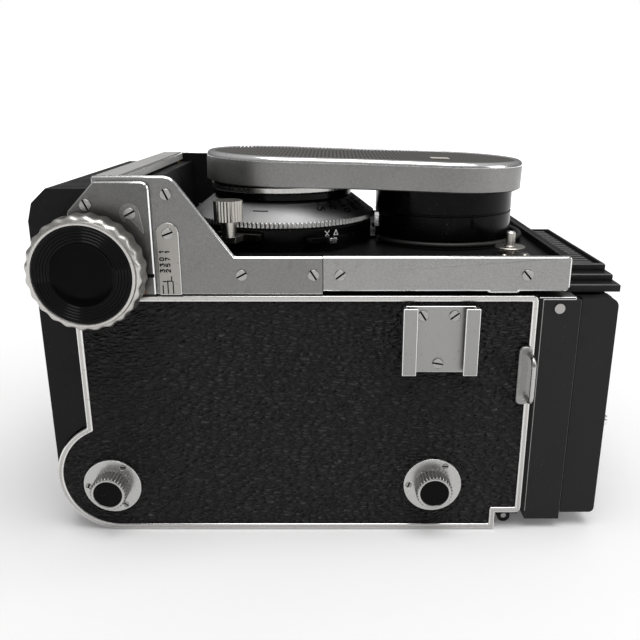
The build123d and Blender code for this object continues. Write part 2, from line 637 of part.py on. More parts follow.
# ---- assembly ----
def make_nodes():
    trim, leather = trim_and_leather()
    NODES["body_frame"] = body_frame()
    NODES["trim_beads"] = Compound([trim, other_side(trim)])
    NODES["leather_panels"] = Compound([leather, other_side(leather)])
    NODES["front_housing"] = front_housing()
    NODES["tripod_socket"] = tripod_socket()
    NODES["knob_plate_left"], NODES["knob_plate_right"] = knob_plate(), other_side(knob_plate())
    NODES["accessory_shoe"] = accessory_shoe()
    NODES["strap_lugs"] = Compound([strap_lug(), other_side(strap_lug())])
    flanges = [knob_flange(SPOOL_LOW), knob_flange(SPOOL_HIGH)]
    NODES["knob_flanges"] = Compound(flanges + [other_side(f) for f in flanges])
    NODES["body_screws"] = body_screws()
    NODES["film_gate"] = film_gate()
    NODES["reflex_mirror"] = reflex_mirror()
    NODES["focusing_screen"] = block(FRAME_X1, FRAME_X1 + 1.4, -30, 30, 6, 65)
    NODES["supply_spool"] = spool(SPOOL_LOW)
    NODES["take_up_spool"] = spool(SPOOL_HIGH)
    NODES["pull_knob_lower"] = pull_knob(SPOOL_LOW)
    NODES["pull_knob_upper"] = pull_knob(SPOOL_HIGH)
    NODES["wind_knob"] = wind_knob()
    NODES["film_door"] = film_door()
    NODES["pressure_plate"] = pressure_plate()
    NODES["door_latch"] = door_latch()
    NODES["side_plate_left"], NODES["side_plate_right"] = side_plate(), other_side(side_plate())
    NODES["upper_plate_left"], NODES["upper_plate_right"] = upper_plate(), other_side(upper_plate())
    NODES["cross_bar"] = block(-61, -54, -PLATE_IN, PLATE_IN, 100.3, 103.3)
    NODES["top_wall"] = block(BOARD_X1, 63.5, -PLATE_IN, PLATE_IN, 73.1, 82.5)
    NODES["lens_board"] = lens_board()
    NODES["standard_screws"] = standard_screws()
    NODES["distance_scale"] = distance_scale()
    NODES["rack_bars"] = Compound([rack_bar(-1), rack_bar(1)])
    NODES["focus_shaft"] = focus_shaft()
    NODES["focus_knob_left"], NODES["focus_knob_right"] = focus_knob(), other_side(focus_knob())
    NODES["shutter_housing"] = shutter_housing()
    NODES["speed_ring"] = speed_ring()
    NODES["front_ring"] = front_ring()
    NODES["aperture_scale"] = sector(27.5, 31.4, 168, 222, 86.0, 86.9)
    NODES["aperture_lever"] = aperture_lever()
    NODES["cocking_lever"] = cocking_lever()
    NODES["release_lever"] = release_lever()
    NODES["sync_lever"] = sync_lever()
    NODES["lens_glass"] = lens_glass()
    NODES["viewing_barrel"] = viewing_barrel()
    NODES["lens_cap"] = lens_cap()
    NODES["cap_insert"] = cap_insert()
    NODES["wire_bail"] = wire_bail()
    NODES["lock_pin"] = lock_pin()
    NODES["bellows"] = bellows()
    NODES["hood_seat"] = hood_seat()
    NODES["hood_base"] = hood_base()
    NODES["nameplate"] = nameplate()
    NODES["hood_lid"] = hood_lid()
    NODES["lid_button"] = lid_button()
    NODES["hinge_pins"] = hinge_pins()
    NODES["side_flap_left"], NODES["side_flap_right"] = side_flap(), other_side(side_flap())
    NODES["rear_flap"] = rear_flap()
    frame, glass = magnifier()
    NODES["magnifier"] = Compound([frame, glass])


make_nodes()
os.makedirs("parts", exist_ok=True)
for name, shape in NODES.items():
    export_step(shape, f"parts/{name}.step")
print(len(NODES), "nodes")
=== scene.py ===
import json
from math import acos, atan2, cos, hypot, pi, radians, sin, sqrt

import bmesh
import bpy
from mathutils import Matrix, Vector


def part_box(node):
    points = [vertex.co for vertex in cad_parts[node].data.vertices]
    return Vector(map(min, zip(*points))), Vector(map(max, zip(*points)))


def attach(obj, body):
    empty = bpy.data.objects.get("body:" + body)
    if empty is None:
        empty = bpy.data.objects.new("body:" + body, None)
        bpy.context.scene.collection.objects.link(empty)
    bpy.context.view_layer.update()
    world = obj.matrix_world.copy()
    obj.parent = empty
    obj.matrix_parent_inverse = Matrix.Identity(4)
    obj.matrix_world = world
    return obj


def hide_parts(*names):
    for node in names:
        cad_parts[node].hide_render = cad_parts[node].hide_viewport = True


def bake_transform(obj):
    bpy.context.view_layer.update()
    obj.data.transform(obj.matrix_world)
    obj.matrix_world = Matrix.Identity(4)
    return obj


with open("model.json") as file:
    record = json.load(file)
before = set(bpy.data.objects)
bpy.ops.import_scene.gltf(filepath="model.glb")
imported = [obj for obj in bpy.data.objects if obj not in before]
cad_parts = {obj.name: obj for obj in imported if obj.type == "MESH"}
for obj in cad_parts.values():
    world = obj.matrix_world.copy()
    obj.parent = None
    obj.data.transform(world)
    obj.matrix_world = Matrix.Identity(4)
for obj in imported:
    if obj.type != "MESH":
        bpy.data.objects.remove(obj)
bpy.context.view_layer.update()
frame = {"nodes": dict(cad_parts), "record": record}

# A twin lens reflex camera lying on its back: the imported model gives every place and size, and the
# pieces here give it its finished surfaces. Lengths in the helpers are millimetres.
MM = 0.001
RECORD = frame["record"]
BODY_OF = {node: body for body, nodes in RECORD["behaviour"]["bodies"].items() for node in nodes}


def extent(node):
    """Lowest and highest corner of a CAD node, in millimetres."""
    low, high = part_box(node)
    return low / MM, high / MM


def middle(node):
    low, high = extent(node)
    return (low + high) / 2


# ---- materials ----
class Look:
    """One procedural material. Feature sizes and relief heights are millimetres."""

    def __init__(self, name, metallic=0.0, **sockets):
        self.material = bpy.data.materials.new(name)
        self.material.use_nodes = True
        self.tree = self.material.node_tree
        self.shader = self.tree.nodes["Principled BSDF"]
        self.shader.inputs["Metallic"].default_value = metallic
        for socket, value in sockets.items():
            self.shader.inputs[socket.replace("_", " ")].default_value = value
        self.place = self.add("TexCoord").outputs["Object"]

    def add(self, kind, **settings):
        node = self.tree.nodes.new("ShaderNode" + kind)
        for key, value in settings.items():
            setattr(node, key, value)
        return node

    def link(self, value, socket):
        if isinstance(value, bpy.types.NodeSocket):
            self.tree.links.new(value, socket)
        else:
            socket.default_value = value

    def mapped(self, size, stretch, shift):
        node = self.add("Mapping")
        self.link(self.place, node.inputs["Vector"])
        node.inputs["Location"].default_value = (shift, shift * 0.7, shift * 1.3)
        node.inputs["Scale"].default_value = [1 / (size * MM * s) for s in stretch]
        return node.outputs["Vector"]

    def noise(self, size, detail=3.0, stretch=(1, 1, 1), shift=0.0, distortion=0.0):
        node = self.add("TexNoise")
        self.link(self.mapped(size, stretch, shift), node.inputs["Vector"])
        node.inputs["Scale"].default_value = 1.0
        node.inputs["Detail"].default_value = detail
        node.inputs["Distortion"].default_value = distortion
        return node.outputs["Fac"]

    def cells(self, size, stretch, warp):
        """Distance to the nearest border of a network of wavy cells."""
        vector = self.mapped(size, stretch, 0.0)
        wave = self.add("TexNoise")
        self.link(vector, wave.inputs["Vector"])
        wave.inputs["Scale"].default_value = 0.7
        push = self.add("VectorMath", operation="MULTIPLY_ADD")
        self.link(wave.outputs["Color"], push.inputs[0])
        push.inputs[1].default_value = (warp, warp, warp)
        self.link(vector, push.inputs[2])
        node = self.add("TexVoronoi", feature="DISTANCE_TO_EDGE")
        self.link(push.outputs[0], node.inputs["Vector"])
        node.inputs["Scale"].default_value = 1.0
        return node.outputs["Distance"]

    def curve(self, value, low, high, out_low=0.0, out_high=1.0):
        """Maps low..high to out_low..out_high, held at both ends."""
        node = self.add("MapRange", clamp=True)
        for socket, number in zip(node.inputs[:5], (value, low, high, out_low, out_high)):
            self.link(number, socket)
        return node.outputs["Result"]

    def math(self, operation, a, b):
        node = self.add("Math", operation=operation)
        self.link(a, node.inputs[0])
        self.link(b, node.inputs[1])
        return node.outputs[0]

    def mix(self, factor, a, b):
        """Colour a where factor is 0 and colour b where it is 1."""
        node = self.add("Mix", data_type="RGBA")
        for index, value in ((0, factor), (6, a), (7, b)):
            if isinstance(value, tuple):
                value = (*value, 1.0)
            self.link(value, node.inputs[index])
        return node.outputs[2]

    def colour(self, value):
        self.link(value, self.shader.inputs["Base Color"])

    def rough(self, value):
        self.link(value, self.shader.inputs["Roughness"])

    def relief(self, height, depth):
        """Adds a bump of that depth on top of the ones before it."""
        node = self.add("Bump")
        node.inputs["Distance"].default_value = depth * MM
        self.link(height, node.inputs["Height"])
        normal = self.shader.inputs["Normal"]
        if normal.is_linked:
            self.tree.links.new(normal.links[0].from_socket, node.inputs["Normal"])
        self.tree.links.new(node.outputs["Normal"], normal)


def grey(level, warm=0.0):
    return (level * (1 + warm), level, level * (1 - 1.6 * warm))


def metal(name, level, rough, warm=0.0, stretch=(1, 1, 1), grain=0.25, wear=0.12, anisotropic=0.0):
    """Plated or satin metal: fine directional grain, cloudy tarnish and a few specks."""
    look = Look(name, metallic=1.0, Anisotropic=anisotropic)
    cloud = look.noise(9.0, 4.0, distortion=0.4)
    speck = look.curve(look.noise(0.9, 2.0, shift=3.0), 0.66, 0.74)
    base = look.mix(cloud, grey(level * (1 - wear), warm), grey(level * (1 + wear), warm))
    base = look.mix(look.math("MULTIPLY", speck, 0.5), base, grey(level * 0.45, warm + 0.05))
    look.colour(base)
    fine = look.noise(grain, 3.0, stretch)
    look.rough(look.curve(look.math("ADD", fine, cloud), 0.6, 1.4, rough - 0.07, rough + 0.09))
    look.relief(fine, 0.006)
    return look.material


def satin(name, level, rust=None, metallic=1.0):
    """Bead-blasted satin plate: fine sparkle, faint smears, small stains and a rust spot if asked for."""
    look = Look(name, metallic=metallic)
    grain = look.noise(0.45, 4.0)
    cloud = look.noise(14.0, 5.0, distortion=0.6)
    stain = look.curve(look.noise(4.0, 4.0, shift=5.0), 0.60, 0.72)
    base = look.mix(cloud, grey(level * 0.92, 0.012), grey(level * 1.07, 0.008))
    base = look.mix(look.math("MULTIPLY", stain, 0.35), base, grey(level * 0.62, 0.05))
    base = look.mix(look.curve(grain, 0.35, 0.65, 0.0, 0.3), base, grey(level * 0.6, 0.01))
    if rust:
        away = look.add("VectorMath", operation="DISTANCE")
        look.link(look.place, away.inputs[0])
        away.inputs[1].default_value = Vector(rust) * MM
        spot = look.math("MULTIPLY", look.curve(away.outputs["Value"], 0.0, 2.2 * MM, 1.0, 0.0), cloud)
        base = look.mix(look.curve(spot, 0.15, 0.4), base, (0.16, 0.06, 0.015))
    look.colour(base)
    look.rough(look.curve(look.math("ADD", grain, cloud), 0.7, 1.3, 0.34, 0.50))
    look.relief(grain, 0.03)
    return look.material


def paint(name, level, rough, peel=0.01, chips=0.0, shine=0.3):
    """Black enamel: slight orange peel, dust and, where asked for, chips down to the metal."""
    look = Look(name, Specular_IOR_Level=shine)
    haze = look.noise(7.0, 5.0, distortion=0.5)
    dust = look.curve(look.noise(0.45, 2.0, shift=7.0), 0.68, 0.78)
    base = look.mix(haze, grey(level * 0.9), grey(level * 1.12))
    base = look.mix(look.math("MULTIPLY", dust, 0.35), base, grey(0.16, 0.02))
    if chips:
        bare = look.curve(look.noise(1.6, 5.0, shift=2.0), 1.0 - chips, 1.03 - chips)
        base = look.mix(bare, base, (0.42, 0.38, 0.31))
        look.link(bare, look.shader.inputs["Metallic"])
    look.colour(base)
    look.rough(look.curve(haze, 0.3, 0.7, rough - 0.08, rough + 0.1))
    look.relief(look.noise(0.8, 2.0), peel)
    return look.material


def leather(name, level, cell, depth):
    """Grained leatherette: small wavy pebbles that run mostly one way. The creases between them are
    coloured near black as painted shade, and the pebble tops carry the patchy tone.
    """
    look = Look(name, Specular_IOR_Level=0.28)
    edge = look.cells(cell, (1.5, 1.5, 0.66), warp=0.9)
    swell = look.noise(cell * 1.1, 1.0, (1.7, 1.7, 0.7), distortion=0.3)
    crease_shade_mask = look.math("MULTIPLY", look.curve(edge, 0.0, 0.25), look.curve(swell, 0.36, 0.6, 0.3, 1.0))
    worn = look.mix(look.noise(22.0, 4.0), grey(level * 2.2), grey(level * 3.2, 0.01))
    # painted shade: the colour drops to near black in the creases between the pebbles
    look.colour(look.mix(crease_shade_mask, grey(level * 0.05), worn))
    look.rough(look.curve(crease_shade_mask, 0.0, 1.0, 0.6, 0.24))
    look.relief(look.math("ADD", look.curve(edge, 0.0, 0.4), swell), depth)
    return look.material


def plastic(name, colour, rough, shine=0.4):
    look = Look(name, Specular_IOR_Level=shine)
    haze = look.noise(5.0, 4.0)
    look.colour(look.mix(haze, tuple(c * 0.8 for c in colour), tuple(c * 1.25 for c in colour)))
    look.rough(look.curve(haze, 0.3, 0.7, rough - 0.06, rough + 0.08))
    look.relief(look.noise(0.5, 2.0), 0.006)
    return look.material


def glass(name, tint, rough=0.0):
    """Coated optical glass with a faint film of dust."""
    look = Look(name, Transmission_Weight=1.0, IOR=1.52)
    film = look.curve(look.noise(3.0, 4.0), 0.45, 0.75)
    look.colour(look.mix(film, tint, tuple(c * 0.93 for c in tint)))
    look.rough(look.curve(film, 0.0, 1.0, rough, rough + 0.04))
    return look.material


def mirror(name):
    look = Look(name, metallic=1.0)
    haze = look.noise(8.0, 5.0)
    look.colour(look.mix(haze, (0.86, 0.87, 0.89), (0.78, 0.79, 0.8)))
    look.rough(look.curve(haze, 0.4, 0.7, 0.02, 0.08))
    return look.material


PLATE = satin("satin_plate", 0.33)
DULL_PLATE = satin("dull_plate", 0.23)
BAR_PLATE = satin("bar_plate", 0.6, metallic=0.4)
GEAR_PLATE = satin("gear_plate", 0.16, rust=(-49.4, -43.3, 72.8))
PLATE_EDGE = metal("polished_edge", 0.7, 0.16, grain=0.5, wear=0.06)
CHROME = metal("aged_chrome", 0.45, 0.26, warm=0.02, grain=0.4)
CHROME_EDGE = metal("rubbed_chrome", 0.7, 0.14, warm=0.01, grain=0.4, wear=0.08)
STEEL = metal("plated_steel", 0.30, 0.36, warm=0.01)
STEEL_EDGE = metal("steel_edge", 0.82, 0.2, grain=0.4)
SCREW = metal("screw_steel", 0.34, 0.3, warm=0.02, stretch=(6, 1, 1))
TURNED = metal("turned_metal", 0.5, 0.28, warm=0.01, stretch=(1, 8, 1), grain=0.2)
KNURL = metal("knurled_rim", 0.5, 0.34, warm=0.03, grain=0.35, wear=0.2)
DIAL = metal("dial_chrome", 0.28, 0.38, stretch=(8, 8, 1), grain=0.15, anisotropic=0.6)
DIAL_RIM = metal("dial_rim", 0.4, 0.3, warm=0.01, grain=0.2)
BRASS = metal("machined_brass", 0.5, 0.3, warm=0.28)
NICKEL = metal("worn_nickel", 0.42, 0.3, warm=0.05)
WIRE = metal("bail_wire", 0.05, 0.5, warm=0.02)
CAP_WALL = satin("cap_satin", 0.26)
CAP_EDGE = metal("cap_polish", 0.8, 0.17, grain=0.5, wear=0.08)
STRIP = metal("scale_strip", 0.33, 0.38, warm=0.04, grain=0.3)
CASTING = paint("black_casting", 0.007, 0.42, peel=0.02, shine=0.13)
CASTING_EDGE = paint("rubbed_casting", 0.03, 0.34, chips=0.36)
ENAMEL = paint("hood_enamel", 0.009, 0.4, shine=0.22)
ENAMEL_EDGE = paint("rubbed_enamel", 0.03, 0.3, chips=0.34)
WORN_EDGE = paint("worn_steps", 0.06, 0.34)
# painted highlight: a pale enamel for the thin light line along the lid seam
SEAM_HIGHLIGHT = paint("painted_seam_highlight", 0.14, 0.3)
GLOSS = paint("gloss_black", 0.002, 0.2, peel=0.004, shine=0.07)
GLOSS_EDGE = paint("rubbed_gloss", 0.02, 0.22, chips=0.3)
KNOB_GROOVES = plastic("knob_grooves", (0.0015, 0.0015, 0.0019), 0.13, shine=0.1)
KNOB_BLACK = plastic("knob_black", (0.0015, 0.0015, 0.0019), 0.2, shine=0.045)
SIDE_LEATHER = leather("side_leather", 0.004, 1.7, 1.9)
DOOR_LEATHER = leather("door_leather", 0.004, 1.7, 1.9)
BELLOWS_CLOTH = leather("bellows_cloth", 0.01, 0.6, 0.1)
RIBBED = plastic("cap_ribbed", (0.08, 0.077, 0.07), 0.42)
LABEL = plastic("blank_label", (0.55, 0.53, 0.47), 0.5)
SPOOL = plastic("spool_plastic", (0.02, 0.02, 0.02), 0.36)
SCREEN = glass("ground_screen", (0.86, 0.9, 0.88), rough=0.45)
LENS = glass("coated_lens", (0.80, 0.84, 0.95))
LOUPE = glass("loupe_glass", (0.93, 0.95, 0.94))
MIRROR = mirror("front_silvered")
INK = plastic("engraved_ink", (0.002, 0.002, 0.002), 0.6, shine=0.05)
WHITE_INK = plastic("white_ink", (0.75, 0.75, 0.73), 0.5)


# ---- mesh helpers ----
SHARP_ANGLE = radians(34.0)      # faces that meet at more than this keep a hard edge
BEVEL_ANGLE = radians(28.0)      # CAD edges sharper than this are rounded
TOUCH = 0.05                     # this near to a plane counts as lying on it


def weld(bm, distance=1e-7):
    """Joins points closer than a distance in metres, such as those at the tip of a turned solid."""
    bmesh.ops.remove_doubles(bm, verts=bm.verts, dist=distance)


def cad_copy(node):
    bm = bmesh.new()
    bm.from_mesh(frame["nodes"][node].data)
    weld(bm, 1e-6)
    return bm


def from_bmesh(bm, name, materials):
    bmesh.ops.recalc_face_normals(bm, faces=bm.faces)
    mesh = bpy.data.meshes.new(name)
    bm.to_mesh(mesh)
    bm.free()
    for material in materials:
        mesh.materials.append(material)
    return mesh


def new_object(name, data):
    thing = bpy.data.objects.new(name, data)
    bpy.context.collection.objects.link(thing)
    return thing


def place_piece(name, bm, materials, node, extra=False, body=None):
    """Puts a finished piece on the body, and lets it stand in for a CAD node by hiding that node,
    unless it is an extra. Flat faces are kept flat next to small bevels."""
    mesh = from_bmesh(bm, name, materials)
    for polygon in mesh.polygons:
        polygon.use_smooth = True
    mesh.set_sharp_from_angle(angle=SHARP_ANGLE)
    piece = new_object(name, mesh)
    piece.modifiers.new("weighted", "WEIGHTED_NORMAL").keep_sharp = True
    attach(piece, body or BODY_OF[node])
    if not extra:
        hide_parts(node)


def bevel(bm, edges, width, segments, clamp=False, material=0):
    bmesh.ops.bevel(bm, geom=edges, offset=width * MM, offset_type="OFFSET", segments=segments,
                    profile=0.5, affect="EDGES", clamp_overlap=clamp, material=material)


def rounded(node, width, face, edge, segments=2, paint_face=None, clamp=True, joint_x=None,
            corner=0.0):
    """Finished copy of a CAD node: its sharp edges rounded, with their own rubbed material. Edges
    that lie at joint_x butt against the next plate and stay square, and the corners at the far end
    in X are first rounded by the corner radius."""
    bm = cad_copy(node)
    bmesh.ops.dissolve_limit(bm, angle_limit=radians(1.0), verts=bm.verts, edges=bm.edges)
    for polygon in bm.faces:
        polygon.material_index = 0
    if corner:
        end_x = extent(node)[1].x
        corners = [e for e in bm.edges if all(abs(v.co.x / MM - end_x) < TOUCH for v in e.verts)
                   and abs(e.verts[0].co.y - e.verts[1].co.y) > 0.9 * e.calc_length()]
        bevel(bm, corners, corner, 5)
    sharp = [e for e in bm.edges if e.is_manifold and e.calc_face_angle(0.0) > BEVEL_ANGLE]
    if joint_x is not None:
        sharp = [e for e in sharp if max(abs(v.co.x / MM - joint_x) for v in e.verts) > TOUCH]
    bevel(bm, sharp, width, segments, clamp, 1)
    if paint_face:
        for polygon in bm.faces:
            polygon.material_index = paint_face(polygon.calc_center_median() / MM, polygon.normal,
                                                polygon.material_index)
    edges = edge if isinstance(edge, tuple) else (edge,)
    place_piece(node + "_finish", bm, (face, *edges), node)


def dressed(node, material):
    """A CAD node shown as it is, with a finished material."""
    mesh = frame["nodes"][node].data
    mesh.materials.clear()
    mesh.materials.append(material)


def about_x(y, z):
    return lambda r, a, h: Vector((h, y + r * cos(a), z + r * sin(a)))


def about_y(x, z, side):
    """Place for a piece turned about a Y axis; heights run outwards from the middle plane."""
    return lambda r, a, h: Vector((x + r * cos(a), side * h, z + r * sin(a)))


def about_z(x, y=0.0):
    return lambda r, a, h: Vector((x + r * cos(a), y + r * sin(a), h))


def round_fit(low, high):
    """For the box of a piece round about Y: its x, z and radius, its side, and both its heights."""
    near, far = sorted((abs(low[1]), abs(high[1])))
    side = 1 if high[1] > 0 else -1
    return (low[0] + high[0]) / 2, (low[2] + high[2]) / 2, (high[0] - low[0]) / 2, side, near, far


def add_shell(bm, rows, ring=False, material=0, bands=()):
    """Walls between outlines of the same number of places. Both ends are closed, unless the
    outlines run in a ring or shrink to a point there. bands lists (first row, material index)."""
    rows = [[bm.verts.new(point * MM) for point in row] for row in rows]
    count = len(rows[0])
    ends = [] if ring else [rows[0], rows[-1]]
    starts = dict(bands)
    index, tip = material, 0.02 * MM
    for i, (low, high) in enumerate(zip(rows, rows[1:] + rows[:1] if ring else rows[1:])):
        index = starts.get(i, index)
        for k in range(count):
            n = (k + 1) % count
            bm.faces.new((low[k], low[n], high[n], high[k])).material_index = index
    for row, end_index in zip(ends, (material, index)):
        if (row[0].co - row[count // 2].co).length > tip:
            bm.faces.new(row).material_index = end_index


def add_turned(bm, place, profile, count=96, ring=False, bands=(), knurl=(1, 0.0)):
    """Solid of revolution through (radius, height) points; a third number is the share of the
    knurl cut at that point. knurl is (ridges, depth)."""
    rows = []
    for r, h, *share in profile:
        row = []
        for k in range(count):
            a = 2 * pi * k / count
            cut = share[0] * knurl[1] * cos(knurl[0] * a / 2) ** 2 if share else 0.0
            row.append(place(r - cut, a, h))
        rows.append(row)
    add_shell(bm, rows, ring, bands=bands)


def turned(node, place, profile, materials, name=None, **shape):
    """Piece that is one turned solid and stands in for a CAD node."""
    bm = bmesh.new()
    add_turned(bm, place, profile, **shape)
    weld(bm)
    place_piece(name or node + "_turned", bm, materials, node)


def rectangle(x, y, z, half_x, half_y):
    return [Vector((x + sx * half_x, y + sy * half_y, z))
            for sx, sy in ((-1, -1), (1, -1), (1, 1), (-1, 1))]


def add_block(bm, centre, half, material=0, chamfer=0.0):
    """Block of the given half sizes, with chamfered top edges."""
    x, y, z = centre
    levels = ((0.0, -half[2]), (0.0, half[2] - chamfer), (chamfer, half[2]))
    add_shell(bm, [rectangle(x, y, z + h, half[0] - inset, half[1] - inset) for inset, h in levels],
              material=material)


def arc_points(x, z, r, angles):
    return [(x + r * cos(radians(a)), z + r * sin(radians(a))) for a in angles]


def rounded_outline(x0, x1, z0, z1, r):
    corners = ((x1 - r, z1 - r, 0), (x0 + r, z1 - r, 90), (x0 + r, z0 + r, 180), (x1 - r, z0 + r, 270))
    return [point for x, z, start in corners
            for point in arc_points(x, z, r, range(start, start + 91, 15))]


# ---- engraved marks: strokes laid on a surface ----
DIGIT_STEP = 1.45      # from one digit to the next, for digits 1 wide and 1.6 high
DIGITS = {
    "0": [[(0, .3), (0, 1.3), (.3, 1.6), (.7, 1.6), (1, 1.3), (1, .3), (.7, 0), (.3, 0), (0, .3)]],
    "1": [[(.2, 1.2), (.6, 1.6), (.6, 0)]],
    "2": [[(0, 1.3), (.3, 1.6), (.8, 1.6), (1, 1.3), (1, 1), (0, 0), (1, 0)]],
    "3": [[(0, 1.6), (1, 1.6), (.45, .95), (1, .7), (1, .3), (.7, 0), (0, .1)]],
    "4": [[(.75, 0), (.75, 1.6), (0, .5), (1, .5)]],
    "5": [[(1, 1.6), (.1, 1.6), (0, .9), (.7, 1), (1, .7), (1, .3), (.7, 0), (0, .1)]],
    "7": [[(0, 1.6), (1, 1.6), (.4, 0)]],
    "8": [[(.5, .85), (.05, 1.2), (.3, 1.6), (.7, 1.6), (.95, 1.2), (.5, .85), (0, .4), (.3, 0),
           (.7, 0), (1, .4), (.5, .85)]],
}


def number(text, u, v, size):
    """Strokes of a number that reads along v and stands up towards lower u, from a corner at u, v."""
    return [[(u - y * size, v + (x + DIGIT_STEP * i) * size) for x, y in path]
            for i, digit in enumerate(text) for path in DIGITS[digit]]


def marks(name, strokes, surface, width, material, node, lift=0.03):
    """Strokes as closed ribbons on surface(u, v, height), which gives a point in millimetres."""
    sink = 0.05
    bm = bmesh.new()
    for stroke in strokes:
        for (u0, v0), (u1, v1) in zip(stroke, stroke[1:]):
            length = hypot(u1 - u0, v1 - v0) or 1.0
            du, dv = (v0 - v1) / length * width / 2, (u1 - u0) / length * width / 2
            eu, ev = (u1 - u0) / length * width / 3, (v1 - v0) / length * width / 3
            corners = [(u0 - eu + du, v0 - ev + dv), (u0 - eu - du, v0 - ev - dv),
                       (u1 + eu - du, v1 + ev - dv), (u1 + eu + du, v1 + ev + dv)]
            add_shell(bm, [[surface(u, v, h) for u, v in corners] for h in (-sink, lift)])
    place_piece(name, bm, [material], node, extra=True)


def left_surface(y):
    """Flat surface that faces left, at that distance from the middle plane: u is X and v is Z."""
    return lambda u, v, h: Vector((u, -(y + h), v))


# ---- slotted screws ----
def islands(node):
    """Lowest and highest corner of each separate solid of a CAD node."""
    bm = cad_copy(node)
    left = set(bm.verts)
    boxes = []
    while left:
        stack, group = [left.pop()], []
        while stack:
            vert = stack.pop()
            group.append(vert.co / MM)
            for edge in vert.link_edges:
                other = edge.other_vert(vert)
                if other in left:
                    left.remove(other)
                    stack.append(other)
        axes = list(zip(*group))
        boxes.append(([min(axis) for axis in axes], [max(axis) for axis in axes]))
    bm.free()
    return sorted(boxes)


def add_screw(bm, x, z, r, side, back, face, turn):
    """Cheese-head screw: two half moons on a round base leave the slot open, and a shank goes in."""
    place = about_y(x, z, side)
    slot, shank_r, steps = 0.19, 0.75, 16
    floor, base = face - 0.28, face - 0.4
    shank = [(0, back), (shank_r, back), (shank_r, base)] if base - back > 0.2 else [(0, base)]
    head = [(r, base), (r, floor), (0, floor)]
    add_turned(bm, place, shank + head, 36, bands=[(len(shank) + 1, 1)])
    start = slot / r
    for half in (0, pi):
        rows = []
        for inset, h in ((0.0, floor - 0.06), (0.0, face - 0.1), (0.14, face)):
            row = []
            for k in range(steps + 1):
                a = start + (pi - 2 * start) * k / steps
                u, v = (r - inset) * cos(a), max((r - inset) * sin(a), slot + inset * 0.4)
                row.append(place(hypot(u, v), atan2(v, u) + turn + half, h))
            rows.append(row)
        add_shell(bm, rows)


def screws(node):
    bm = bmesh.new()
    for i, box in enumerate(islands(node)):
        add_screw(bm, *round_fit(*box), radians(115 + 47 * i))
    place_piece(node + "_slotted", bm, [SCREW, INK], node)


def flange_screws():
    """Three small screws in each spool flange."""
    head_r, inset = 0.85, 1.4
    bm = bmesh.new()
    for box in islands("knob_flanges"):
        x, z, r, side, _, face = round_fit(*box)
        for k in range(3):
            a = radians(60 + 120 * k)
            add_screw(bm, x + (r - inset) * cos(a), z + (r - inset) * sin(a), head_r, side,
                      face - 0.4, face + 0.02, radians(70 * k))
    place_piece("flange_screws", bm, [SCREW, INK], "body_screws", extra=True)


# ---- body ----
def body_pieces():
    for node, material in (("body_frame", CASTING), ("film_gate", CASTING), ("reflex_mirror", MIRROR),
                           ("focusing_screen", SCREEN), ("hinge_pins", SCREW)):
        dressed(node, material)
    rounded("trim_beads", 0.5, CHROME, CHROME_EDGE, segments=3, corner=1.6)
    rounded("leather_panels", 0.3, SIDE_LEATHER, SIDE_LEATHER)
    rounded("front_housing", 0.7, CASTING, CASTING_EDGE, segments=3)
    rounded("tripod_socket", 0.4, STEEL, STEEL_EDGE)
    rounded("accessory_shoe", 0.22, STEEL, STEEL_EDGE)
    strap_lugs()
    rounded("knob_flanges", 0.25, TURNED, STEEL_EDGE)
    screws("body_screws")
    flange_screws()
    for side in ("left", "right"):
        rounded("knob_plate_" + side, 0.32, GEAR_PLATE, PLATE_EDGE, segments=1, clamp=False)
    seat_top = extent("hood_seat")[1].z
    base_x = extent("hood_base")[0].x
    lid_x = extent("hood_lid")[0].x

    def seat_paint(centre, normal, index):
        """Only the top strip is plated; down the side a hairline shows in the black gap."""
        if centre.z > seat_top - 1.0:
            return index
        return 3 if index == 1 and base_x - 0.35 < centre.x < base_x + 0.1 else 2

    def seam_highlight(centre, normal, index):
        """The edge that meets the lid on either side is painted as a pale line, a painted highlight."""
        near_lid = lid_x - 0.8 < centre.x < lid_x + 0.1 and abs(centre.y) > 40
        return 2 if index == 1 and near_lid else index

    rounded("hood_seat", 0.3, PLATE, (PLATE_EDGE, CASTING, STEEL), paint_face=seat_paint)
    rounded("hood_base", 0.5, ENAMEL, (ENAMEL_EDGE, SEAM_HIGHLIGHT), paint_face=seam_highlight)


def strap_lugs():
    """Each lug is a grooved strip on the side and a bent rod that stands out from it."""
    low, high = extent("strap_lugs")
    reach, rod, bend, from_end, root = 5.4, 0.68, 2.2, 2.2, 0.4
    strip_profile = ((0.0, -0.6), (0.0, -0.2), (0.2, 0.0), (0.75, 0.0), (0.9, -0.12), (1.1, -0.12))
    strip = high.y - reach
    z0, z1, out = low.z + from_end, high.z - from_end, high.y - rod
    quarter = [radians(a) for a in range(0, 91, 15)]
    path = [(strip - root, z0)]
    path += [(out - bend + bend * sin(a), z0 + bend - bend * cos(a)) for a in quarter]
    path += [(out - bend + bend * cos(a), z1 - bend + bend * sin(a)) for a in quarter]
    path.append((strip - root, z1))
    bm = bmesh.new()
    for side in (-1, 1):
        rows = []
        for inset, h in strip_profile:
            outline = rounded_outline(low.x + inset, high.x - inset, low.z + inset, high.z - inset,
                                      1.4 - inset * 0.9)
            rows.append([Vector((u, side * (strip + h), v)) for u, v in outline])
        add_shell(bm, rows)
        rows = []
        for i, (y, z) in enumerate(path):
            before, after = path[max(i - 1, 0)], path[min(i + 1, len(path) - 1)]
            along = Vector((0, after[0] - before[0], after[1] - before[1])).normalized()
            away = Vector((0, along.z, -along.y))
            ring = []
            for k in range(20):
                a = 2 * pi * k / 20
                point = Vector((high.x - rod, y, z)) + rod * (cos(a) * away + Vector((sin(a), 0, 0)))
                ring.append(Vector((point.x, side * point.y, point.z)))
            rows.append(ring)
        add_shell(bm, rows, material=1)
    place_piece("strap_loops", bm, [PLATE, CHROME], "strap_lugs")


# ---- standard ----
def inner_black(side):
    """Painter for a side plate: the face towards the middle plane is blackened."""
    def choose(centre, normal, index):
        return 2 if normal.y * side < -0.9 else index
    return choose


